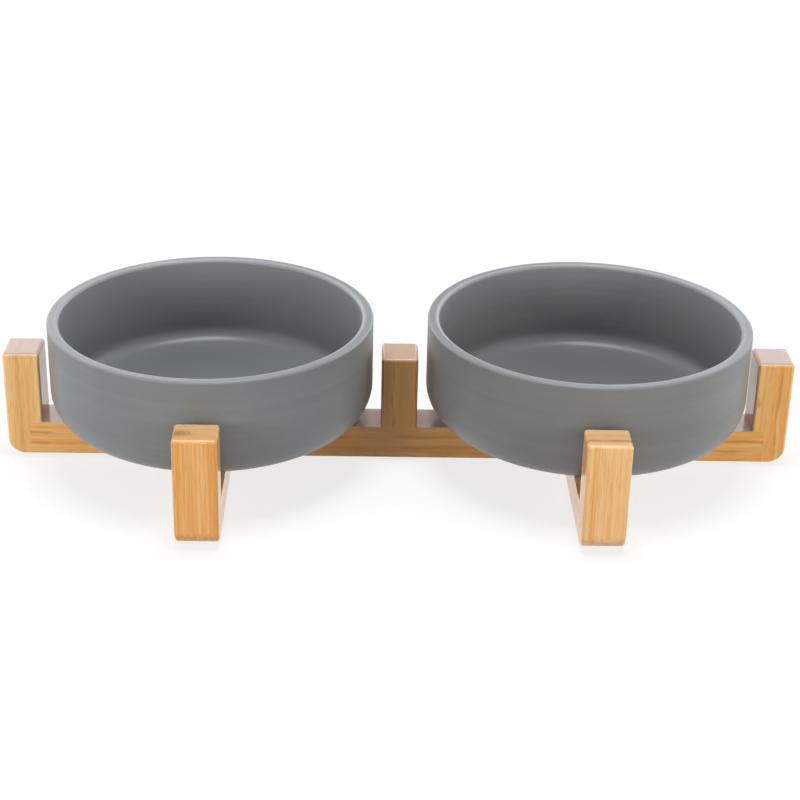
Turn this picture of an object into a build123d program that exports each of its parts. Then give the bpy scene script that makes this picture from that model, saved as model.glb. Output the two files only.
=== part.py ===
from build123d import *
import os

# Double pet bowl: two loose stoneware bowls in a low stand of laminated bamboo bars.
# The long rail runs along X, with a cross rail along Y under each bowl. Posts stand on the
# rail ends and between the bowls. Left is -X, front is -Y, up is +Z, and the origin is on
# the floor under the middle of the stand. Every size is in millimetres.

# Driving dimensions of the bowls
bowl_diameter = 155.0
bowl_height = 53.7  # from the foot ring's underside to the rim
bowl_wall = 5.6
rim_outer_round = 1.2
rim_inner_round = 1.8
shoulder_width = 21.3  # of the curve that turns the wall in to the underside
shoulder_height = 18.6
inner_corner = 7.5  # round between the inner wall and the floor
floor_thickness = 6.0
recess_depth = 4.0  # hollow inside the foot ring
foot_height = 1.5  # step at the outside of the foot ring
foot_step = 2.2  # how far the foot ring stands in from the end of the shoulder
foot_width = 8.0
foot_round = 0.6

# Driving dimensions of the stand
bowl_clearance = 4.25  # between a bowl's wall and each post round it
bar_width = 20.0
post_thickness = 17.5
post_height = 53.0  # from the rails' underside to the top of a post
rail_height = 17.0
lap_depth = 6.3  # how far a rail's end reaches under its post
corner_round = 8.0  # at the outer foot of each end post
edge_ease = 1.5

# Driving dimensions of the hidden dowels and of the foot pads
dowel_diameter = 6.0
dowel_clearance = 0.1  # glue room round a dowel
dowel_end_gap = 0.5  # glue room past each end of a dowel
dowel_chamfer = 0.6
dowel_cover = 3.5  # wood left between the bottom of a hole and the outside
dowel_web = 4.0  # wood left between the two dowels of the centre post
dowel_in_rail_end = 18.0
dowel_in_centre_post = 15.0
pad_diameter = 10.0
pad_thickness = 1.5
pad_round = 0.4
pad_gap = 3.0  # from a rail's end to the edge of its pad

# Sizes and places that follow
bowl_radius = bowl_diameter / 2
inner_radius = bowl_radius - bowl_wall
most_rim_round = 0.48 * bowl_wall  # leaves a little flat between the two rounds
outer_rim = min(rim_outer_round, most_rim_round)
inner_rim = min(rim_inner_round, most_rim_round)
floor_top = recess_depth + floor_thickness
shoulder_start = bowl_radius - shoulder_width
shoulder_top = foot_height + shoulder_height
foot_outer_radius = shoulder_start - foot_step
foot_inner_radius = foot_outer_radius - foot_width

half_bar = bar_width / 2
pocket = bowl_diameter + 2 * bowl_clearance
bowl_spacing = pocket + post_thickness
end_face = pocket + post_thickness / 2  # inner face of an end post, from the middle
cross_face = pocket / 2  # inner face of a front or rear post, from the middle
rail_bottom = pad_thickness
rail_middle = rail_bottom + rail_height / 2
rail_top = rail_bottom + rail_height
post_top = rail_bottom + post_height
outer_round = min(corner_round, post_thickness - lap_depth - edge_ease)

dowel_radius = dowel_diameter / 2
hole_radius = dowel_radius + dowel_clearance
post_hole_depth = post_thickness - lap_depth - dowel_cover
rail_hole_depth = rail_height - dowel_cover
centre_dowel_offset = (dowel_diameter + dowel_web) / 2

up = Vector(0, 0, 1)
right = Vector(1, 0, 0)
rear = Vector(0, 1, 0)
touch = 0.001  # two places closer than this count as one

# Each rail end: the name of its corner, the point where the post's inner face meets the
# rail's middle line on the floor, and the way out
corners = {
    "left_end": (right * -end_face, right * -1),
    "right_end": (right * end_face, right),
}
for side, sign in (("left", -1), ("right", 1)):
    middle = right * (sign * bowl_spacing / 2)
    corners[f"{side}_front"] = (middle - rear * cross_face, rear * -1)
    corners[f"{side}_rear"] = (middle + rear * cross_face, rear)


def make_bowl(middle_x):
    """Half section of a bowl, from under its middle out over the rim and back in, turned about its axis."""
    with BuildPart() as bowl:
        with BuildSketch(Plane((middle_x, 0, rail_top), x_dir=right, z_dir=-rear)) as section:
            with BuildLine():
                Polyline(
                    (0, floor_top),
                    (0, recess_depth),
                    (foot_inner_radius, recess_depth),
                    (foot_inner_radius, 0),
                    (foot_outer_radius, 0),
                    (foot_outer_radius, foot_height),
                    (shoulder_start, foot_height),
                )
                EllipticalCenterArc(
                    (shoulder_start, shoulder_top),
                    shoulder_width,
                    shoulder_height,
                    start_angle=270,
                    arc_size=90,
                )
                Line((bowl_radius, shoulder_top), (bowl_radius, bowl_height - outer_rim))
                rim_outside = CenterArc(
                    (bowl_radius - outer_rim, bowl_height - outer_rim), outer_rim, 0, 90
                )
                rim_inside = CenterArc(
                    (inner_radius + inner_rim, bowl_height - inner_rim), inner_rim, 90, 90
                )
                Line(rim_outside @ 1, rim_inside @ 0)
                floor_round = CenterArc(
                    (inner_radius - inner_corner, floor_top + inner_corner), inner_corner, 0, -90
                )
                Line(rim_inside @ 1, floor_round @ 0)
                Line(floor_round @ 1, (0, floor_top))
            make_face()
            fillet(section.vertices().group_by(Axis.Y)[0], foot_round)
        revolve(axis=Axis((middle_x, 0, 0), up))
    return bowl.part


def drill(point, way_out, depth):
    """A dowel hole that opens at a point and runs in from it, against the way out."""
    with Locations(Plane(point, z_dir=way_out)):
        Hole(hole_radius, depth)


def make_rail(middle, run, spans, holes):
    """A straight rail, made of one extruded stretch for each span along its run.

    A span is (start, end, bottom, top, levels whose long edges are eased). Spans past the middle
    are repeated on the other side of it. A hole is (point, way out, depth)."""
    far_spans = [(-end, -start, *rest) for start, end, *rest in spans if start > 0]
    with BuildPart() as rail:
        for start, end, low, high, eased in spans + far_spans:
            with BuildSketch(Plane(middle + run * start, x_dir=up.cross(run), z_dir=run)) as section:
                with Locations((0, (low + high) / 2)):
                    Rectangle(bar_width, high - low)
                corner_rows = section.vertices().group_by(Axis.Y)
                for level, row in ((low, corner_rows[0]), (high, corner_rows[-1])):
                    if level in eased:
                        fillet(row, edge_ease)
            extrude(amount=end - start)
        for point, way_out, depth in holes:
            drill(point, way_out, depth)
    return rail.part


def end_holes(middle, run, rail_end):
    """The dowel holes in the two ends of a rail."""
    axis_point = middle + up * rail_middle
    return [
        (axis_point + run * (way * rail_end), run * way, dowel_in_rail_end) for way in (-1, 1)
    ]


def make_cross_rail(middle):
    """A rail from front to back, with its lower half cut away where it crosses the long rail."""
    rail_end = cross_face + lap_depth
    spans = [
        (-half_bar, half_bar, rail_middle, rail_top, ()),
        (half_bar, cross_face, rail_bottom, rail_top, (rail_bottom, rail_top)),
        (cross_face, rail_end, rail_bottom, rail_top, (rail_bottom,)),
    ]
    return make_rail(middle, rear, spans, end_holes(middle, rear, rail_end))


def make_long_rail():
    """The rail along X, with its upper half cut away under each cross rail."""
    middle = Vector(0, 0, 0)
    rail_end = end_face + lap_depth
    half_post = post_thickness / 2
    near = bowl_spacing / 2 - half_bar
    far = bowl_spacing / 2 + half_bar
    spans = [
        (-half_post, half_post, rail_bottom, rail_top, (rail_bottom,)),
        (half_post, near, rail_bottom, rail_top, (rail_bottom, rail_top)),
        (near, far, rail_bottom, rail_middle, ()),
        (far, end_face, rail_bottom, rail_top, (rail_bottom, rail_top)),
        (end_face, rail_end, rail_bottom, rail_top, (rail_bottom,)),
    ]
    post_holes = [
        (rear * (way * centre_dowel_offset) + up * rail_top, up, rail_hole_depth) for way in (-1, 1)
    ]
    return make_rail(middle, right, spans, end_holes(middle, right, rail_end) + post_holes)


def make_corner_post(foot, outward):
    """A post whose inner foot is cut away over the end of its rail, and whose outer foot is rounded."""
    elevation = Plane(foot + up * rail_bottom, x_dir=outward, z_dir=outward.cross(up))
    with BuildPart() as post:
        with BuildSketch(elevation) as side:
            with BuildLine():
                Polyline(
                    (lap_depth, 0),
                    (post_thickness, 0),
                    (post_thickness, post_height),
                    (0, post_height),
                    (0, rail_height),
                    (lap_depth, rail_height),
                    close=True,
                )
            make_face()
            outer_foot = side.vertices().group_by(Axis.Y)[0].sort_by(Axis.X)[-1]
            fillet(outer_foot, outer_round)
        extrude(amount=half_bar, both=True)

        def is_eased(edge):
            """False round the cut over the rail, and for the seams of the round that run across the bar."""
            place = elevation.to_local_coords(edge.center())
            beside_cut = place.X < lap_depth + touch and place.Y < rail_height + touch
            runs_across = abs(place.Z) < touch
            return not beside_cut and (not runs_across or place.Y > post_height - touch)

        fillet(post.edges().filter_by(is_eased), edge_ease)
        drill(foot + outward * lap_depth + up * rail_middle, -outward, post_hole_depth)
    return post.part


def make_centre_post():
    """A plain post that stands on the middle of the long rail."""
    with BuildPart() as post:
        with BuildSketch(Plane.XY.offset(rail_top)):
            Rectangle(post_thickness, bar_width)
        extrude(amount=post_top - rail_top)
        upright_edges = post.edges().filter_by(Axis.Z)
        top_edges = post.edges().group_by(Axis.Z)[-1]
        fillet(upright_edges + top_edges, edge_ease)
        for way in (-1, 1):
            drill(rear * (way * centre_dowel_offset) + up * rail_top, -up, dowel_in_centre_post)
    return post.part


def make_dowels(spans):
    """Round dowels with chamfered ends, one for each (start point, direction, hole depth) given."""
    with BuildPart() as dowels:
        for start, along, depth in spans:
            with BuildSketch(Plane(start + along * dowel_end_gap, z_dir=along)):
                Circle(dowel_radius)
            extrude(amount=depth - 2 * dowel_end_gap)
        chamfer(dowels.edges().filter_by(GeomType.CIRCLE), dowel_chamfer)
    return dowels.part


def make_pad(foot, outward):
    """A round pad stuck under a rail, just in from its end."""
    reach = lap_depth - pad_gap - pad_diameter / 2
    with BuildPart() as pad:
        with BuildSketch(Plane(foot + outward * reach)):
            Circle(pad_diameter / 2)
        extrude(amount=pad_thickness)
        fillet(pad.edges().group_by(Axis.Z)[0], pad_round)
    return pad.part


corner_dowel_spans = [
    (
        foot + outward * (lap_depth - dowel_in_rail_end) + up * rail_middle,
        outward,
        dowel_in_rail_end + post_hole_depth,
    )
    for foot, outward in corners.values()
]
centre_dowel_spans = [
    (
        rear * (way * centre_dowel_offset) + up * (rail_top - rail_hole_depth),
        up,
        rail_hole_depth + dowel_in_centre_post,
    )
    for way in (-1, 1)
]

pieces = {
    "left_bowl": make_bowl(-bowl_spacing / 2),
    "right_bowl": make_bowl(bowl_spacing / 2),
    "long_rail": make_long_rail(),
    "left_cross_rail": make_cross_rail(right * (-bowl_spacing / 2)),
    "right_cross_rail": make_cross_rail(right * (bowl_spacing / 2)),
    "centre_post": make_centre_post(),
    "corner_dowels": make_dowels(corner_dowel_spans),
    "centre_dowels": make_dowels(centre_dowel_spans),
}
for corner, (foot, outward) in corners.items():
    pieces[f"{corner}_post"] = make_corner_post(foot, outward)
    pieces[f"{corner}_pad"] = make_pad(foot, outward)

os.makedirs("parts", exist_ok=True)
for node, piece in pieces.items():
    piece.label = node
    export_step(piece, f"parts/{node}.step")
    print(node, len(piece.solids()), "solids,", round(piece.volume), "mm3")
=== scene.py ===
# %% [markdown]
# # Double pet bowl on a bamboo stand
# Two loose stoneware bowls stand in the pockets of a low stand, which is glued up from laminated
# bamboo bars. The construction comes from CAD, as separate pieces in real places and sizes. This
# lesson gives those pieces their finishes, turns finer bowls, and sets up the light and the camera.
# Loading the frame first means that nothing has to be fitted by eye later: every size below is
# either read from the frame or written as a real size.

# %% Load the frame
import math

import bpy
import numpy as np
from mathutils import Matrix, Vector


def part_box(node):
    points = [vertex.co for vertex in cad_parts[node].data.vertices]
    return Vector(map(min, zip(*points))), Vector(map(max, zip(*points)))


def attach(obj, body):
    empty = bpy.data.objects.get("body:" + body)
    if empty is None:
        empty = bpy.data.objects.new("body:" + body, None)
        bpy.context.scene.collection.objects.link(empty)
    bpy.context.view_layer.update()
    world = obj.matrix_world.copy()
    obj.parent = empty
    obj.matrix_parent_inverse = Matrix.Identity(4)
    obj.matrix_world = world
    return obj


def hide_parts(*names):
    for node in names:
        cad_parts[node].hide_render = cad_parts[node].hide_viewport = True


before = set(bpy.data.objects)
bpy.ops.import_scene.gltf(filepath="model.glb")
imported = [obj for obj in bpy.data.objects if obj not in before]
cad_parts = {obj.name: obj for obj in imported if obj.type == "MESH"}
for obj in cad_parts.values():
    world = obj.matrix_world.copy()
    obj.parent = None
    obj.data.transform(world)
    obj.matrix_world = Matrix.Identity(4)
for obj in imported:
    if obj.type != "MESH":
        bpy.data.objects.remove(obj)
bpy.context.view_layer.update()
mm = 0.001
scene = bpy.context.scene

# %% [markdown]
# ## The camera
# The picture is taken from in front and from above, with a longish lens, so the far side of each bowl
# is only a little smaller than the near side. A camera could be pointed with a Track To constraint,
# but a constraint can't hold the slight roll of a hand-held view. So the three directions of the
# camera are worked out from its turn, rise and roll, and put straight into its matrix.

# %% Place the camera
camera_turn = math.radians(-1.286)
camera_rise = math.radians(25.506)
camera_roll = math.radians(1.327)
camera_distance = 883.3 * mm
camera_target = Vector((0.53, 0, 28.26)) * mm
picture_width_px = 800
sensor_width_mm = 36
focal_length_px = 1807.7

towards_camera = Vector(
    (
        math.sin(camera_turn) * math.cos(camera_rise),
        -math.cos(camera_turn) * math.cos(camera_rise),
        math.sin(camera_rise),
    )
)
level_right = Vector((0, 0, 1)).cross(towards_camera).normalized()
level_up = towards_camera.cross(level_right)
picture_right = level_right * math.cos(camera_roll) + level_up * math.sin(camera_roll)
picture_up = level_up * math.cos(camera_roll) - level_right * math.sin(camera_roll)
camera_axes = Matrix((picture_right, picture_up, towards_camera)).transposed()

camera_data = bpy.data.cameras.new("camera")
camera_data.sensor_width = sensor_width_mm
camera_data.lens = focal_length_px / picture_width_px * sensor_width_mm
camera = bpy.data.objects.new("camera", camera_data)
scene.collection.objects.link(camera)
camera_place = camera_target + towards_camera * camera_distance
camera.matrix_world = Matrix.Translation(camera_place) @ camera_axes.to_4x4()
scene.camera = camera
print("lens", round(camera_data.lens, 1), "mm, standing at", [round(x, 3) for x in camera_place])

# %% [markdown]
# ## The floor and the white surround
# Small goods are photographed on a white sweep, so the floor runs off into a white surround with no
# horizon. The floor could simply be lit until it burns out, but that would spoil the colours of the
# object. Instead, the floor reflects only about a fifth of the light, which is enough for a soft
# shadow. On top of that it glows, but only for the camera and in reflections, which the Light Path
# node tells apart. The glow grows to full white away from the object, so no edge shows.


# %% Helpers for shader nodes
def add_node(tree, kind, inputs=None, **settings):
    """Adds a node, sets its properties, and fills its inputs with values or with links from sockets."""
    node = tree.nodes.new(kind)
    for name, value in settings.items():
        setattr(node, name, value)
    for key, value in (inputs or {}).items():
        if isinstance(value, bpy.types.NodeSocket):
            tree.links.new(value, node.inputs[key])
        else:
            node.inputs[key].default_value = value
    return node


def math_node(tree, operation, *values, clamp=False):
    """The result of one Math node, for values that are numbers or sockets."""
    inputs = dict(enumerate(values))
    return add_node(tree, "ShaderNodeMath", inputs, operation=operation, use_clamp=clamp).outputs[0]


def vector_node(tree, operation, *values):
    """The vector result of one Vector Math node."""
    inputs = dict(enumerate(values))
    return add_node(tree, "ShaderNodeVectorMath", inputs, operation=operation).outputs[0]


def length_of(tree, vector):
    """How long a vector is."""
    return add_node(tree, "ShaderNodeVectorMath", {0: vector}, operation="LENGTH").outputs["Value"]


def ramp(tree, value, start, end, low=0.0, high=1.0):
    """Goes smoothly from low to high as the value goes from start to end, and stays there outside them."""
    inputs = {0: value, 1: start, 2: end, 3: low, 4: high}
    return add_node(tree, "ShaderNodeMapRange", inputs, interpolation_type="SMOOTHSTEP").outputs[0]


def mix_colour(tree, factor, first, second):
    """The first colour, taken towards the second by a factor."""
    inputs = {0: factor, 6: first, 7: second}
    return add_node(tree, "ShaderNodeMix", inputs, data_type="RGBA").outputs[2]


def new_material(name):
    """An empty material, with its node tree and its output node."""
    material = bpy.data.materials.new(name)
    material.use_nodes = True
    material.node_tree.nodes.clear()
    output = add_node(material.node_tree, "ShaderNodeOutputMaterial")
    return material, material.node_tree, output


def seen_directly(tree):
    """1 for rays that show the surface itself: to the camera, in a reflection or through glass."""
    path = add_node(tree, "ShaderNodeLightPath").outputs
    shown = math_node(tree, "ADD", path["Is Camera Ray"], path["Is Glossy Ray"])
    return math_node(tree, "ADD", shown, path["Is Transmission Ray"], clamp=True)


print("node helpers are ready")

# %% Floor and surround
floor_half_width = 6.0
floor_grey = (0.22, 0.22, 0.22, 1)
near_glow = 0.775
far_glow = 1.0
glow_reach = (0.4, 1.2)
ambient_light = 0.03

floor_mesh = bpy.data.meshes.new("floor")
floor_corners = np.array([(-1, -1, 0), (1, -1, 0), (1, 1, 0), (-1, 1, 0)]) * floor_half_width
floor_mesh.from_pydata(floor_corners.tolist(), [], [(0, 1, 2, 3)])
floor = bpy.data.objects.new("floor", floor_mesh)
scene.collection.objects.link(floor)

floor_material, tree, output = new_material("white_floor")
lit = add_node(tree, "ShaderNodeBsdfDiffuse", {"Color": floor_grey}).outputs[0]
where = add_node(tree, "ShaderNodeTexCoord").outputs["Object"]
glow_level = ramp(tree, length_of(tree, where), *glow_reach, near_glow, far_glow)
glow_level = math_node(tree, "MULTIPLY", seen_directly(tree), glow_level)
glow = add_node(tree, "ShaderNodeEmission", {"Strength": glow_level}).outputs[0]
both = add_node(tree, "ShaderNodeAddShader", {0: lit, 1: glow}).outputs[0]
tree.links.new(both, output.inputs["Surface"])
floor_mesh.materials.append(floor_material)

world = bpy.data.worlds.new("surround")
world.use_nodes = True
scene.world = world
tree = world.node_tree
tree.nodes.clear()
output = add_node(tree, "ShaderNodeOutputWorld")
level = math_node(tree, "MAXIMUM", seen_directly(tree), ambient_light)
backdrop = add_node(tree, "ShaderNodeBackground", {"Color": (1, 1, 1, 1), "Strength": level}).outputs[0]
tree.links.new(backdrop, output.inputs["Surface"])
print("floor", 2 * floor_half_width, "m wide, ambient light", ambient_light)

# %% [markdown]
# ## The light
# A product table like this one is lit by soft boxes. Two large ones stand behind the object, to the
# left and right: the lacquered post tops mirror them, which is why they look so pale. Two small, low
# ones in front light the outside of the bowls and reach in over the near rims, so the far inner walls
# fade from top to bottom. They show in no reflection, because from behind they would whiten the bar
# tops. A weak one in front fills the shade between the bowls, and a small, slightly blue one overhead
# lights the bowl floors. Point lamps would give hard shadows, so every lamp here is an area light.

# %% Soft boxes
light_target = Vector((0, 0, 0.04))
plain_white = (1, 1, 1)
warm_white = (1.0, 0.985, 0.97)
cool_white = (0.9, 0.93, 1.0)


def soft_box(name, place, width, height, power, colour, mirrored=True):
    """A rectangular area light that stands at a place and faces the middle of the stand.

    One that is not mirrored lights the object but shows in no reflection."""
    lamp = bpy.data.lights.new(name, "AREA")
    lamp.shape = "RECTANGLE"
    lamp.size = width
    lamp.size_y = height
    lamp.energy = power
    lamp.color = colour
    box = bpy.data.objects.new(name, lamp)
    scene.collection.objects.link(box)
    facing = light_target - Vector(place)
    turn = facing.to_track_quat("-Z", "Y").to_matrix().to_4x4()
    box.matrix_world = Matrix.Translation(place) @ turn
    box.visible_camera = False
    box.visible_glossy = mirrored


soft_box("left_front_box", (-0.77, -0.6, 0.235), 0.4, 0.38, 6.05, warm_white, mirrored=False)
soft_box("right_front_box", (0.81, -0.55, 0.235), 0.4, 0.38, 6.0, warm_white, mirrored=False)
soft_box("front_fill_box", (0, -1.2, 0.36), 0.6, 0.4, 0.7, warm_white)
soft_box("left_back_box", (-1.05, 1.2, 0.8), 1.9, 1.45, 13.4, plain_white)
soft_box("right_back_box", (1.05, 1.2, 0.8), 1.9, 1.45, 12.6, plain_white)
soft_box("top_box", (0, 0, 1.4), 0.5, 0.5, 13.2, cool_white)

# %% [markdown]
# ## The shape of a bowl
# A stoneware bowl like this is turned, so it is the same all the way round: a profile spun about an
# upright axis. The Screw modifier or the Spin operator could do that. Here the profile is one array of
# radii and heights, and the whole surface is that array times the cosines and sines of a circle. In
# this way the profile's own facts, such as where the clay is bare, go onto the mesh as attributes.
# The walls carry shallow turning marks, always cut into the clay, so the bowl never grows past its
# CAD size.

# %% Sizes of a bowl
low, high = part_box("left_bowl")
bowl_radius = (high.x - low.x) / 2
bowl_height = high.z - low.z
bowl_seat = low.z
bowl_wall = 5.6 * mm
rim_outer_round = 1.2 * mm
rim_inner_round = 1.8 * mm
shoulder_width = 21.3 * mm
shoulder_height = 18.6 * mm
inner_corner = 7.5 * mm
floor_top = 10.0 * mm
recess_depth = 4.0 * mm
foot_height = 1.5 * mm
foot_outer_radius = 54.0 * mm
foot_inner_radius = 46.0 * mm
foot_round = 0.6 * mm
turning_mark_depth = 0.03 * mm
turning_mark_pitch = 4.2 * mm

inner_radius = bowl_radius - bowl_wall
print("bowl", round(2 * bowl_radius / mm, 1), "mm across and", round(bowl_height / mm, 1), "mm high")


# %% Profile of a bowl
def line(start, end, count):
    """Evenly spaced points from start up to, but without, the end."""
    share = np.linspace(0, 1, count, endpoint=False)[:, None]
    return np.array(start) * (1 - share) + np.array(end) * share


def arc(centre, radii, start, end, count):
    """Points on a circle or an ellipse, without the last.

    Each is the centre plus the radius, or one of the two radii, times the cosine and sine of its angle."""
    angle = np.radians(np.linspace(start, end, count, endpoint=False))
    return np.array(centre) + np.array(radii) * np.stack([np.cos(angle), np.sin(angle)], axis=1)


def bowl_profile():
    """Radius and height from under the middle, out round the foot, over the rim and in to the floor's middle.

    Lines and arcs follow each other. Turning marks cut into both walls, by their depth times
    (1 - cos(2 pi height / pitch)) / 2. Returns the points and the name of each point's stretch."""
    recess_edge = foot_inner_radius - foot_round
    recess_level = recess_depth - foot_round
    step_edge = foot_outer_radius + foot_round
    shoulder_start = bowl_radius - shoulder_width
    shoulder_top = foot_height + shoulder_height
    outer_level = bowl_height - rim_outer_round
    inner_level = bowl_height - rim_inner_round
    rim_outside = bowl_radius - rim_outer_round
    rim_inside = inner_radius + rim_inner_round
    floor_edge = inner_radius - inner_corner
    corner_level = floor_top + inner_corner
    stretches = {
        "recess": line((0, recess_depth), (recess_edge, recess_depth), 16),
        "recess corner": arc((recess_edge, recess_level), foot_round, 90, 0, 5),
        "foot inside": line((foot_inner_radius, recess_level), (foot_inner_radius, foot_round), 4),
        "foot inner edge": arc((foot_inner_radius + foot_round, foot_round), foot_round, 180, 270, 6),
        "foot face": line((foot_inner_radius + foot_round, 0), (foot_outer_radius - foot_round, 0), 6),
        "foot outer edge": arc((foot_outer_radius - foot_round, foot_round), foot_round, -90, 0, 6),
        "foot step": arc((step_edge, foot_height - foot_round), foot_round, 180, 90, 5),
        "underside": line((step_edge, foot_height), (shoulder_start, foot_height), 3),
        "shoulder": arc((shoulder_start, shoulder_top), (shoulder_width, shoulder_height), -90, 0, 32),
        "wall": line((bowl_radius, shoulder_top), (bowl_radius, outer_level), 48),
        "rim outside": arc((rim_outside, outer_level), rim_outer_round, 0, 90, 12),
        "rim top": line((rim_outside, bowl_height), (rim_inside, bowl_height), 6),
        "rim inside": arc((rim_inside, inner_level), rim_inner_round, 90, 180, 14),
        "inner wall": line((inner_radius, inner_level), (inner_radius, corner_level), 48),
        "floor round": arc((floor_edge, corner_level), inner_corner, 0, -90, 20),
        "floor": line((floor_edge, floor_top), (0, floor_top), 32),
    }
    names = np.repeat(list(stretches), [len(points) for points in stretches.values()])
    names = np.append(names, "floor")
    radius, height = np.concatenate([*stretches.values(), [(0, floor_top)]]).T
    wave = (1 - np.cos(2 * np.pi * height / turning_mark_pitch)) / 2 * turning_mark_depth
    radius = radius - np.where(names == "wall", wave, 0) + np.where(names == "inner wall", wave, 0)
    return np.stack([radius, height], axis=1), names


profile, stretch_names = bowl_profile()
print("profile points:", len(profile))

# %% Bare clay, thin glaze and painted light
# The rim's inner line is partly thin glaze and partly a painted highlight. The wall share is painted light:
# the upper inner wall is paler where light comes in over the near rim, fading with depth.
pale_rim_line_width = 0.8 * mm
pale_rim_line_angle = math.radians(18)
painted_light_depth = 16.0 * mm
painted_light_on_wall = 0.42


def glaze_values():
    """How bare the clay is, and how much pale tone the glaze takes, from 0 to 1 at each point of the profile.

    The foot's face and its edges are bare. Round a line on the rim's inner edge, which is partly thin glaze
    and partly a painted highlight, the pale tone is exp(-(distance / width) squared). On the inner wall it is
    at least a share of painted light that fades with the depth below the rim, as exp(-depth / light depth)."""
    radius, height = profile.T
    bare = np.isin(stretch_names, ["foot inner edge", "foot face", "foot outer edge"]).astype(float)
    edge_radius = inner_radius + rim_inner_round * (1 - math.sin(pale_rim_line_angle))
    edge_height = bowl_height - rim_inner_round * (1 - math.cos(pale_rim_line_angle))
    from_edge = np.hypot(radius - edge_radius, height - edge_height)
    wall_light = painted_light_on_wall * np.exp((height - bowl_height) / painted_light_depth)
    pale_share = np.where(np.isin(stretch_names, ["rim inside", "inner wall", "floor round"]), wall_light, 0)
    pale_share = np.maximum(pale_share, np.exp(-((from_edge / pale_rim_line_width) ** 2)))
    return {"bare_clay": bare, "thin_glaze_and_painted_light": pale_share}


point_values = glaze_values()
print("bare points:", int(point_values["bare_clay"].sum()))

# %% Turn the bowls
turn_steps = 256


def turned(name, profile, middle, values):
    """A closed turned surface. Point (i, j) is radius i times the cosine and sine of angle j, at height i.

    The first and last points of the profile lie on the axis, so each becomes one pole with a fan of
    triangles. Values are point attributes, one number for each point of the profile."""
    angle = np.linspace(0, 2 * np.pi, turn_steps, endpoint=False)
    radius, height = profile[1:-1, :1], profile[1:-1, 1:]
    rings = np.stack(
        [radius * np.cos(angle), radius * np.sin(angle), np.broadcast_to(height, (len(height), turn_steps))],
        axis=2,
    )
    poles = np.array([(0, 0, profile[0, 1]), (0, 0, profile[-1, 1])])
    vertices = np.concatenate([rings.reshape(-1, 3), poles]) + np.array(middle)

    row = np.arange(len(height) - 1)[:, None] * turn_steps
    here = np.arange(turn_steps)[None, :]
    after = np.roll(here, -1, axis=1)
    corners = np.broadcast_arrays(row + here, row + after, row + turn_steps + after, row + turn_steps + here)
    quads = np.stack(corners, axis=2).reshape(-1, 4)
    last_ring = (len(height) - 1) * turn_steps
    under, over = len(vertices) - 2, len(vertices) - 1
    first_fan = np.stack([np.full(turn_steps, under), after[0], here[0]], axis=1)
    last_fan = np.stack([np.full(turn_steps, over), last_ring + here[0], last_ring + after[0]], axis=1)

    mesh = bpy.data.meshes.new(name)
    mesh.from_pydata(vertices.tolist(), [], quads.tolist() + first_fan.tolist() + last_fan.tolist())
    mesh.polygons.foreach_set("use_smooth", np.ones(len(mesh.polygons), bool))
    for value_name, value in values.items():
        spread = np.concatenate([np.repeat(value[1:-1], turn_steps), [value[0], value[-1]]])
        attribute = mesh.attributes.new(value_name, "FLOAT", "POINT")
        attribute.data.foreach_set("value", spread.astype(np.float32))
    mesh.update()
    piece = bpy.data.objects.new(name, mesh)
    scene.collection.objects.link(piece)
    return piece


bowls = {}
for side in ("left", "right"):
    low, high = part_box(f"{side}_bowl")
    middle = ((low.x + high.x) / 2, (low.y + high.y) / 2, bowl_seat)
    bowl = turned(f"{side}_turned_bowl", profile, middle, point_values)
    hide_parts(f"{side}_bowl")
    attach(bowl, f"{side}_bowl")
    bowls[side] = bowl
    print(bowl.name, "faces:", len(bowl.data.polygons))

# %% [markdown]
# ## The glaze
# The bowls have a satin grey glaze. Up close it is never one flat grey: it clouds a little where it
# lay thicker, and it keeps faint level bands from the turning. On the rim's inner edge there is a paler,
# slightly blue line, which is partly thinner glaze and partly a painted highlight. The upper inner wall
# is paler too, fading with depth, and that is painted light, where the light comes in over the near rim.
# The foot ring is wiped clean before firing, so there the pale clay shows. The clouds and bands are a
# node group, because both bowls use them, each with its own greys.

# %% Helpers for patterns
noise_span = (0.3, 0.7)


def new_group(name, inputs, outputs):
    """An empty shader node group with named sockets, and its two end nodes."""
    group = bpy.data.node_groups.new(name, "ShaderNodeTree")
    for socket, kind in inputs.items():
        group.interface.new_socket(socket, in_out="INPUT", socket_type=kind)
    for socket, kind in outputs.items():
        group.interface.new_socket(socket, in_out="OUTPUT", socket_type=kind)
    return group, add_node(group, "NodeGroupInput").outputs, add_node(group, "NodeGroupOutput").inputs


def noise(tree, place, scale, detail):
    """Noise at a place in millimetres, with the span that it mostly uses stretched to 0 to 1.

    Scale is how often it repeats per millimetre, along each of the three directions."""
    spread = vector_node(tree, "MULTIPLY", place, scale)
    inputs = {"Vector": spread, "Scale": 1.0, "Detail": detail}
    return ramp(tree, add_node(tree, "ShaderNodeTexNoise", inputs).outputs[0], *noise_span)


def pattern_place(tree, turn=(0, 0, 0), middle=(0, 0, 0)):
    """Object coordinates in millimetres, turned, and centred on a point given in the turned millimetres."""
    where = add_node(tree, "ShaderNodeTexCoord").outputs["Object"]
    inputs = {"Vector": where, "Location": middle, "Rotation": turn, "Scale": (1 / mm, 1 / mm, 1 / mm)}
    return add_node(tree, "ShaderNodeMapping", inputs).outputs[0]


pattern_outputs = {"Colour": "NodeSocketColor", "Roughness": "NodeSocketFloat", "Height": "NodeSocketFloat"}
print("a pattern gives:", list(pattern_outputs))

# %% Glaze group
cloud_scale = (0.03, 0.03, 0.05)
level_band_scale = (0.004, 0.004, 0.3)
glaze_grain_scale = (0.9, 0.9, 0.9)
least_shade = 0.935
band_shade = 0.07
grain_shade = 0.03
grain_relief = 0.4
glaze_roughness = (0.36, 0.42)

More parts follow.
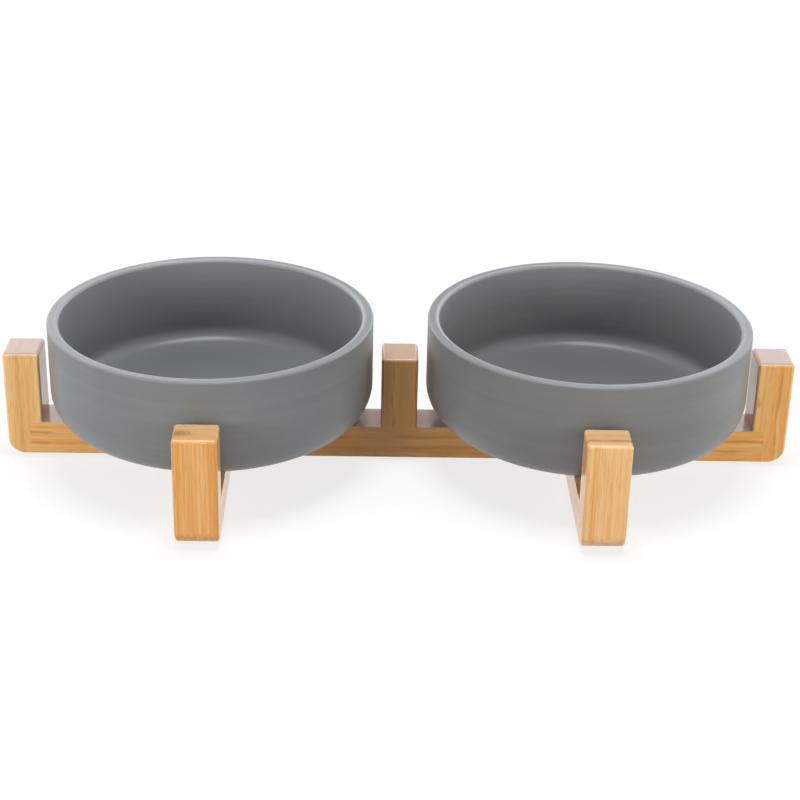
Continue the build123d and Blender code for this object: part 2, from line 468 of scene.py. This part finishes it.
glaze_group, given, result = new_group(
    "clouded_glaze",
    {"Place": "NodeSocketVector", "Grey": "NodeSocketColor", "Cloud": "NodeSocketColor"},
    pattern_outputs,
)
tree = glaze_group
clouds = noise(tree, given["Place"], cloud_scale, detail=3)
bands = noise(tree, given["Place"], level_band_scale, detail=3)
grain = noise(tree, given["Place"], glaze_grain_scale, detail=4)
tint = mix_colour(tree, clouds, given["Grey"], given["Cloud"])
shade = math_node(tree, "MULTIPLY_ADD", bands, band_shade, least_shade)
shade = math_node(tree, "MULTIPLY_ADD", grain, grain_shade, shade)
colour = add_node(tree, "ShaderNodeVectorMath", {0: tint, 3: shade}, operation="SCALE").outputs[0]
tree.links.new(colour, result["Colour"])
tree.links.new(ramp(tree, clouds, 0, 1, *glaze_roughness), result["Roughness"])
tree.links.new(math_node(tree, "MULTIPLY_ADD", grain, grain_relief, bands), result["Height"])
print("glaze group:", [socket.name for socket in glaze_group.interface.items_tree])


# %% Glaze materials
def srgb(red, green, blue):
    """A colour as picked on a screen, from 0 to 255, turned into the light values that Blender works in."""
    screen = np.array([red, green, blue]) / 255
    light = np.where(screen <= 0.04045, screen / 12.92, ((screen + 0.055) / 1.055) ** 2.4)
    return (*light.tolist(), 1.0)


def surface(tree, output, colour, roughness, height, relief, bump_strength=0.5, finish=None):
    """A Principled surface whose bump lifts it by the relief. Finish sets other sockets of the shader."""
    bump = add_node(tree, "ShaderNodeBump", {"Strength": bump_strength, "Distance": relief, "Height": height})
    inputs = {"Base Color": colour, "Roughness": roughness, "Normal": bump.outputs[0], **(finish or {})}
    shader = add_node(tree, "ShaderNodeBsdfPrincipled", inputs)
    tree.links.new(shader.outputs[0], output.inputs["Surface"])


clay_colour = srgb(196, 184, 166)
# Pale, slightly blue tone: thin glaze and painted highlight on the rim's inner line, painted light on the
# upper inner wall.
thin_glaze_and_highlight_tone = srgb(172, 176, 184)
pale_tone_cover = 0.5
bare_extra_roughness = 0.45
glaze_relief = 0.01 * mm


def glaze_material(name, grey, cloud):
    """Satin glaze over stoneware, with bare clay on the foot ring, and a pale tone that is thin glaze and a
    painted highlight on the rim, and painted light on the upper inner wall.
    """
    material, tree, output = new_material(name)
    inputs = {"Place": pattern_place(tree), "Grey": grey, "Cloud": cloud}
    glaze = add_node(tree, "ShaderNodeGroup", inputs, node_tree=glaze_group).outputs
    bare = add_node(tree, "ShaderNodeAttribute", attribute_name="bare_clay").outputs["Fac"]
    # Thin glaze, with a painted highlight on the rim's inner line and painted light on the upper inner wall.
    pale_share = add_node(tree, "ShaderNodeAttribute", attribute_name="thin_glaze_and_painted_light").outputs["Fac"]
    paled_colour = mix_colour(tree, math_node(tree, "MULTIPLY", pale_share, pale_tone_cover), glaze["Colour"], thin_glaze_and_highlight_tone)
    colour = mix_colour(tree, bare, paled_colour, clay_colour)
    roughness = math_node(tree, "MULTIPLY_ADD", bare, bare_extra_roughness, glaze["Roughness"])
    surface(tree, output, colour, roughness, glaze["Height"], glaze_relief)
    return material


bowls["left"].data.materials.append(glaze_material("left_glaze", srgb(125, 129, 129), srgb(121, 126, 128)))
bowls["right"].data.materials.append(glaze_material("right_glaze", srgb(122, 124, 123), srgb(118, 120, 120)))
print("glazes:", [bowl.data.materials[0].name for bowl in bowls.values()])

# %% [markdown]
# ## The bamboo
# The bars are sawn from laminated bamboo board: three plies, each about a third of the bar thick, with
# the fibres all running along the bar. Each ply has its own warmth and shows fine streaks along its
# length, and some joints between plies show as a dark line. Here and there a bar has a dark mark,
# where the stem had a knuckle. The faces that look up have a tone of their own. On the post tops it is
# partly the end grain, sawn across the fibres, and partly painted shade: it is set darker where more of
# the mirrored back light falls, so that with it the tops come out pale. On the long rail's top the tone
# is painted shade with a grey painted reflection. On the end and centre posts the upper and upright
# edges are paler, which is a painted highlight. An image of wood would slide over the edges, so the
# pattern is a solid one: it has a value at every point in space, and the faces of a bar simply cut
# through it.

# %% Bamboo group
bamboo_group, given, result = new_group(
    "laminated_bamboo",
    {
        "Place": "NodeSocketVector",
        "Up": "NodeSocketFloat",
        "Ply": "NodeSocketFloat",
        "Half Size": "NodeSocketVector",
        "Seed": "NodeSocketFloat",
        "Warmths": "NodeSocketVector",
        "Joints": "NodeSocketVector",
        "Mark": "NodeSocketVector",
        "Mark Size": "NodeSocketVector",
        "Mark Strength": "NodeSocketFloat",
        "Pale": "NodeSocketColor",
        "Warm": "NodeSocketColor",
        "Top": "NodeSocketColor",
        "Top Strength": "NodeSocketFloat",
        "Edge": "NodeSocketColor",
        "Edge Strength": "NodeSocketFloat",
    },
    pattern_outputs,
)
tree = bamboo_group


def parts_of(tree, vector):
    """The three numbers of a vector."""
    return add_node(tree, "ShaderNodeSeparateXYZ", {0: vector}).outputs


def chosen(tree, number, choices):
    """The value that belongs to a whole number, out of a dictionary of numbers and values, or else 0."""
    total = 0.0
    for wanted, value in choices.items():
        is_it = math_node(tree, "COMPARE", number, float(wanted), 0.5)
        total = math_node(tree, "MULTIPLY_ADD", is_it, value, total)
    return total


print("bamboo group:", [socket.name for socket in bamboo_group.interface.items_tree])

# %% Plies
ply_count = 3
bend_scale = (0.02, 0.02, 0.06)
joint_bend = 0.16
seed_per_ply = 7.31
slide_per_seed = 91.0

across_plies, _, along_grain = parts_of(tree, given["Place"])
bend = noise(tree, given["Place"], bend_scale, detail=3)
bend = math_node(tree, "MULTIPLY_ADD", bend, joint_bend, 0.5 - joint_bend / 2)
layer = math_node(tree, "ADD", math_node(tree, "DIVIDE", across_plies, given["Ply"]), bend)
ply_number = math_node(tree, "MINIMUM", math_node(tree, "FLOOR", layer), 1.0)
ply_number = math_node(tree, "MAXIMUM", ply_number, -1.0)
warmths = parts_of(tree, given["Warmths"])
ply_warmth = chosen(tree, ply_number, {-1: warmths[0], 0: warmths[1], 1: warmths[2]})
ply_seed = math_node(tree, "MULTIPLY_ADD", ply_number, seed_per_ply, given["Seed"])
slide = math_node(tree, "MULTIPLY", ply_seed, slide_per_seed)
slide = add_node(tree, "ShaderNodeCombineXYZ", {2: slide}).outputs[0]
ply_place = vector_node(tree, "ADD", given["Place"], slide)
print("plies in a bar:", ply_count)

# %% Glue lines and streaks
joint_scale = (0.12, 0.12, 0.07)
joint_core = 0.05
joint_widths = (0.4, 1.5)
joint_fade = (0.45, 1.0)
band_scale = (0.26, 0.26, 0.007)
streak_scale = (1.1, 1.1, 0.016)
fibre_scale = (2.8, 2.8, 0.1)

nearest_joint = math_node(tree, "ROUND", layer)
to_joint = math_node(tree, "ABSOLUTE", math_node(tree, "SUBTRACT", layer, nearest_joint))
to_joint = math_node(tree, "MULTIPLY", to_joint, given["Ply"])
joints = parts_of(tree, given["Joints"])
joint_strength = chosen(tree, nearest_joint, {0: joints[0], 1: joints[1]})
joint_wander = noise(tree, given["Place"], joint_scale, detail=2)
joint_width = ramp(tree, joint_wander, 0, 1, *joint_widths)
joint_line = ramp(tree, to_joint, joint_core, joint_width, 1, 0)
joint_line = math_node(tree, "MULTIPLY", joint_line, joint_strength)
joint_line = math_node(tree, "MULTIPLY", joint_line, ramp(tree, joint_wander, 0, 1, *joint_fade))

bands = noise(tree, ply_place, band_scale, detail=2)
streaks = noise(tree, ply_place, streak_scale, detail=3)
fibres = noise(tree, ply_place, fibre_scale, detail=2)
print("glue lines", joint_widths, "mm wide, streaks", round(1 / streak_scale[0], 1), "mm apart")

# %% Marks, painted-shade tops and painted edge highlights
mark_fray = 0.6
mark_reach = (0.3, 1.5)
upward = (0.5, 0.9)
edge_depth = (0.1, 1.3)

from_mark = vector_node(tree, "SUBTRACT", given["Place"], given["Mark"])
from_mark = vector_node(tree, "DIVIDE", from_mark, given["Mark Size"])
mark_distance = math_node(tree, "MULTIPLY_ADD", streaks, mark_fray, length_of(tree, from_mark))
mark = ramp(tree, mark_distance, *mark_reach, 1, 0)
mark = math_node(tree, "MULTIPLY", mark, given["Mark Strength"])

# The faces that look up take the top tone, which is partly end grain and partly painted shade.
top = ramp(tree, given["Up"], *upward)
# Painted highlight on the upper and upright eased edges, where the light catches them; the bottom edges, in
# shade, are left out.
from_middle = vector_node(tree, "ABSOLUTE", given["Place"])
to_faces = parts_of(tree, vector_node(tree, "SUBTRACT", given["Half Size"], from_middle))
near_x, near_y, near_z = [ramp(tree, depth, *edge_depth, 1, 0) for depth in to_faces]
near_top = math_node(tree, "MULTIPLY", near_z, ramp(tree, along_grain, 0, 1))
edge = math_node(tree, "MULTIPLY", near_x, near_y)
edge = math_node(tree, "MAXIMUM", edge, math_node(tree, "MULTIPLY", near_y, near_top))
edge = math_node(tree, "MAXIMUM", edge, math_node(tree, "MULTIPLY", near_top, near_x))
print("painted_highlight edges", edge_depth[1], "mm wide")

# %% Colour of the bamboo
glue_brown = (0.52, 0.16, 0.015, 1)
knuckle_brown = (0.2, 0.065, 0.01, 1)
top_contrast = 0.35
streak_strength = 0.75
dark_fibres = (0.5, 1.0)
fibre_strength = 0.24
bamboo_roughness = (0.4, 0.52)

contrast = ramp(tree, top, 0, 1, 1, top_contrast)
band_warmth = math_node(tree, "SUBTRACT", bands, 0.5)
streak_warmth = math_node(tree, "MULTIPLY", math_node(tree, "SUBTRACT", streaks, 0.5), streak_strength)
line_warmth = math_node(tree, "MULTIPLY", math_node(tree, "ADD", band_warmth, streak_warmth), contrast)
warmth = math_node(tree, "ADD", line_warmth, ply_warmth, clamp=True)
colour = mix_colour(tree, warmth, given["Pale"], given["Warm"])
fibre_shade = math_node(tree, "MULTIPLY", ramp(tree, fibres, *dark_fibres), fibre_strength)
fibre_shade = math_node(tree, "MULTIPLY", fibre_shade, contrast)
darkness = math_node(tree, "MAXIMUM", fibre_shade, joint_line)
colour = mix_colour(tree, darkness, colour, glue_brown)
# The top tone is partly painted shade, and the edge tone is a painted highlight.
top_share = math_node(tree, "MULTIPLY", top, given["Top Strength"])
colour = mix_colour(tree, top_share, colour, given["Top"])
edge_share = math_node(tree, "MULTIPLY", edge, given["Edge Strength"])
colour = mix_colour(tree, edge_share, colour, given["Edge"])
colour = mix_colour(tree, mark, colour, knuckle_brown)
tree.links.new(colour, result["Colour"])
tree.links.new(ramp(tree, streaks, 0, 1, *bamboo_roughness), result["Roughness"])
tree.links.new(math_node(tree, "SUBTRACT", streaks, joint_line), result["Height"])
print("nodes in the bamboo group:", len(tree.nodes))

# %% Bamboo material
honey = {"Pale": (0.92, 0.565, 0.24, 1), "Warm": (0.81, 0.365, 0.08, 1)}
# Top tone of the front posts and the other bars: partly end grain, partly painted shade, lightest where the
# bowls hide the back light.
plain_top = {"Top": (0.66, 0.43, 0.25, 1), "Top Strength": 0.45}
plain_edge = {"Edge Strength": 0.0}
no_mark = (Vector((0, 0, 0)), (1, 1, 1), 0.0)
lacquer = {"Specular IOR Level": 0.1, "Coat Weight": 0.9, "Coat Roughness": 0.16}
bamboo_relief = 0.02 * mm


def bamboo_material(
    node, grain, stack, seed, warmths, joints=(0.3, 0.3, 0), tones=honey, mark=no_mark, top=plain_top,
    edge=plain_edge,
):
    """Lacquered bamboo for one bar. Grain is the way its fibres run, stack the way its plies are piled.

    Warmths are for the three plies, and joints are the strengths of the two glue lines between them. A mark
    is its place, in millimetres from the middle of the bar, its reach across the plies, across the bar and
    along the grain, and its strength. Top is the tone of the faces that look up, partly end grain and partly
    painted shade, and edge is the tone of a painted highlight on the edges, each with its strength."""
    low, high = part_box(node)
    turn = Matrix((stack, grain.cross(stack), grain))
    middle = turn @ (low + high) / 2 / mm
    size = turn @ (high - low) / mm
    mark_place, mark_size, mark_strength = mark
    material, tree, output = new_material(f"{node}_bamboo")
    inputs = {
        "Place": pattern_place(tree, turn.to_euler(), -middle),
        "Up": parts_of(tree, add_node(tree, "ShaderNodeTexCoord").outputs["Normal"])[2],
        "Ply": abs(size.x) / ply_count,
        "Half Size": [abs(length) / 2 for length in size],
        "Seed": seed,
        "Warmths": warmths,
        "Joints": joints,
        "Mark": turn @ mark_place,
        "Mark Size": mark_size,
        "Mark Strength": mark_strength,
        **tones,
        **top,
        **edge,
    }
    bamboo = add_node(tree, "ShaderNodeGroup", inputs, node_tree=bamboo_group).outputs
    surface(
        tree, output, bamboo["Colour"], bamboo["Roughness"], bamboo["Height"], bamboo_relief, finish=lacquer
    )
    return material


print("lacquer:", lacquer)

# %% Bars of the stand
cream = {"Pale": (1.0, 0.64, 0.25, 1), "Warm": (0.95, 0.48, 0.115, 1)}
straw = {"Pale": (0.98, 0.585, 0.21, 1), "Warm": (0.92, 0.42, 0.08, 1)}
amber = {"Pale": (1.0, 0.52, 0.115, 1), "Warm": (1.0, 0.43, 0.05, 1)}
# Top tones, partly end grain and partly painted shade: darkest on the end posts, under the strongest mirrored
# back light, and less dark on the centre post.
grey_top = {"Top": (0.285, 0.194, 0.168, 1), "Top Strength": 0.85}
pink_top = {"Top": (0.55, 0.36, 0.26, 1), "Top Strength": 0.8}
# The long rail's top tone is painted shade, from the bowls and posts around it, with a grey painted
# reflection. It is not end grain.
rail_top = {"Top": (0.56, 0.35, 0.28, 1), "Top Strength": 1.0}
# Painted highlight on the edges of the end and centre posts.
pale_edge = {"Edge": (0.88, 0.68, 0.5, 1), "Edge Strength": 0.9}
left_dark_line = (Vector((-1.5, 0, 0)), (1.2, 40, 60), 0.16)
right_knuckle = (Vector((-7.0, -10, 5.4)), (1.6, 8, 3.2), 0.35)
centre_streak = (Vector((-6.4, -10, 7.0)), (3.6, 14, 30), 0.42)
top_knuckle = (Vector((-6.6, -1, 26.5)), (3.8, 7, 2.4), 0.6)
right_top_line = (Vector((0, -3.4, 26.5)), (1.6, 40, 2.0), 0.4)

along_x = Vector((1, 0, 0))
along_y = Vector((0, 1, 0))
along_z = Vector((0, 0, 1))
level_in_x = dict(grain=along_x, stack=along_z)
level_in_y = dict(grain=along_y, stack=along_z)
upright_in_y = dict(grain=along_z, stack=along_y)
pale_edged = dict(grain=along_z, stack=along_x, edge=pale_edge)
end_post = dict(pale_edged, top=grey_top)
bars = {
    "long_rail": dict(
        level_in_x, seed=3.0, warmths=(0.5, 0.75, 0.55), joints=(0.5, 0.6, 0), tones=straw, top=rail_top
    ),
    "left_cross_rail": dict(level_in_y, seed=20.0, warmths=(0.5, 0.6, 0.5)),
    "right_cross_rail": dict(level_in_y, seed=21.7, warmths=(0.5, 0.6, 0.4)),
    "left_end_post": dict(
        end_post, seed=6.4, warmths=(0.0, 0.25, 0.15), joints=(0.3, 0.2, 0), tones=cream, mark=left_dark_line
    ),
    "right_end_post": dict(
        end_post, seed=9.8, warmths=(0.55, 0.75, 0.25), joints=(0.2, 0.55, 0), tones=straw, mark=right_knuckle
    ),
    "centre_post": dict(
        pale_edged, seed=4.7, warmths=(0.8, 0.35, 0.5), joints=(0.85, 0.1, 0), tones=amber,
        mark=centre_streak, top=pink_top,
    ),
    "left_front_post": dict(
        upright_in_y, seed=3.0, warmths=(1.0, 0.6, 0.45), joints=(0.2, 0.25, 0), mark=top_knuckle
    ),
    "right_front_post": dict(
        upright_in_y, seed=13.2, warmths=(0.1, 0.65, 0.0), joints=(0.95, 0.15, 0), mark=right_top_line
    ),
    "left_rear_post": dict(upright_in_y, seed=16.6, warmths=(0.4, 0.6, 0.5)),
    "right_rear_post": dict(upright_in_y, seed=18.3, warmths=(0.3, 0.65, 0.45)),
}
for node, facts in bars.items():
    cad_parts[node].material_slots[0].material = bamboo_material(node, **facts)
print("bamboo bars:", len(bars))

# %% [markdown]
# ## Dowels and pads
# The dowels are hidden in the joints, and the pads are hidden under the rail ends, but the part is also
# looked at from below and with its pieces apart. The dowels are plain wood. They could have a pattern
# of their own, but at their size the bamboo one, with its plies alike and no glue lines, looks right.
# The pads are dull rubber with a fine moulded grain, and a little noise is enough for that.

# %% Dowel and pad materials
rubber_grain_scale = (2.5, 2.5, 2.5)
rubber_roughness = (0.7, 0.9)
rubber_relief = 0.05 * mm
rubber_bump = 0.6

dowels = bamboo_material(
    "corner_dowels", along_x, along_z, seed=31.0, warmths=(0.3, 0.3, 0.3), joints=(0, 0, 0)
)
for node in ("corner_dowels", "centre_dowels"):
    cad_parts[node].material_slots[0].material = dowels

rubber, tree, output = new_material("pad_rubber_grain")
grain = noise(tree, pattern_place(tree), rubber_grain_scale, detail=3)
colour = mix_colour(tree, grain, srgb(52, 52, 50), srgb(70, 69, 66))
surface(tree, output, colour, ramp(tree, grain, 0, 1, *rubber_roughness), grain, rubber_relief, rubber_bump)
pads = [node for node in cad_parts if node.endswith("_pad")]
for node in pads:
    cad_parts[node].material_slots[0].material = rubber
print("pads:", len(pads))

# %% [markdown]
# ## Finish
# The colours are shown as they are, with the Standard view transform. The dressed part must be no
# larger than the CAD model.

# %% View
scene.view_settings.view_transform = "Standard"
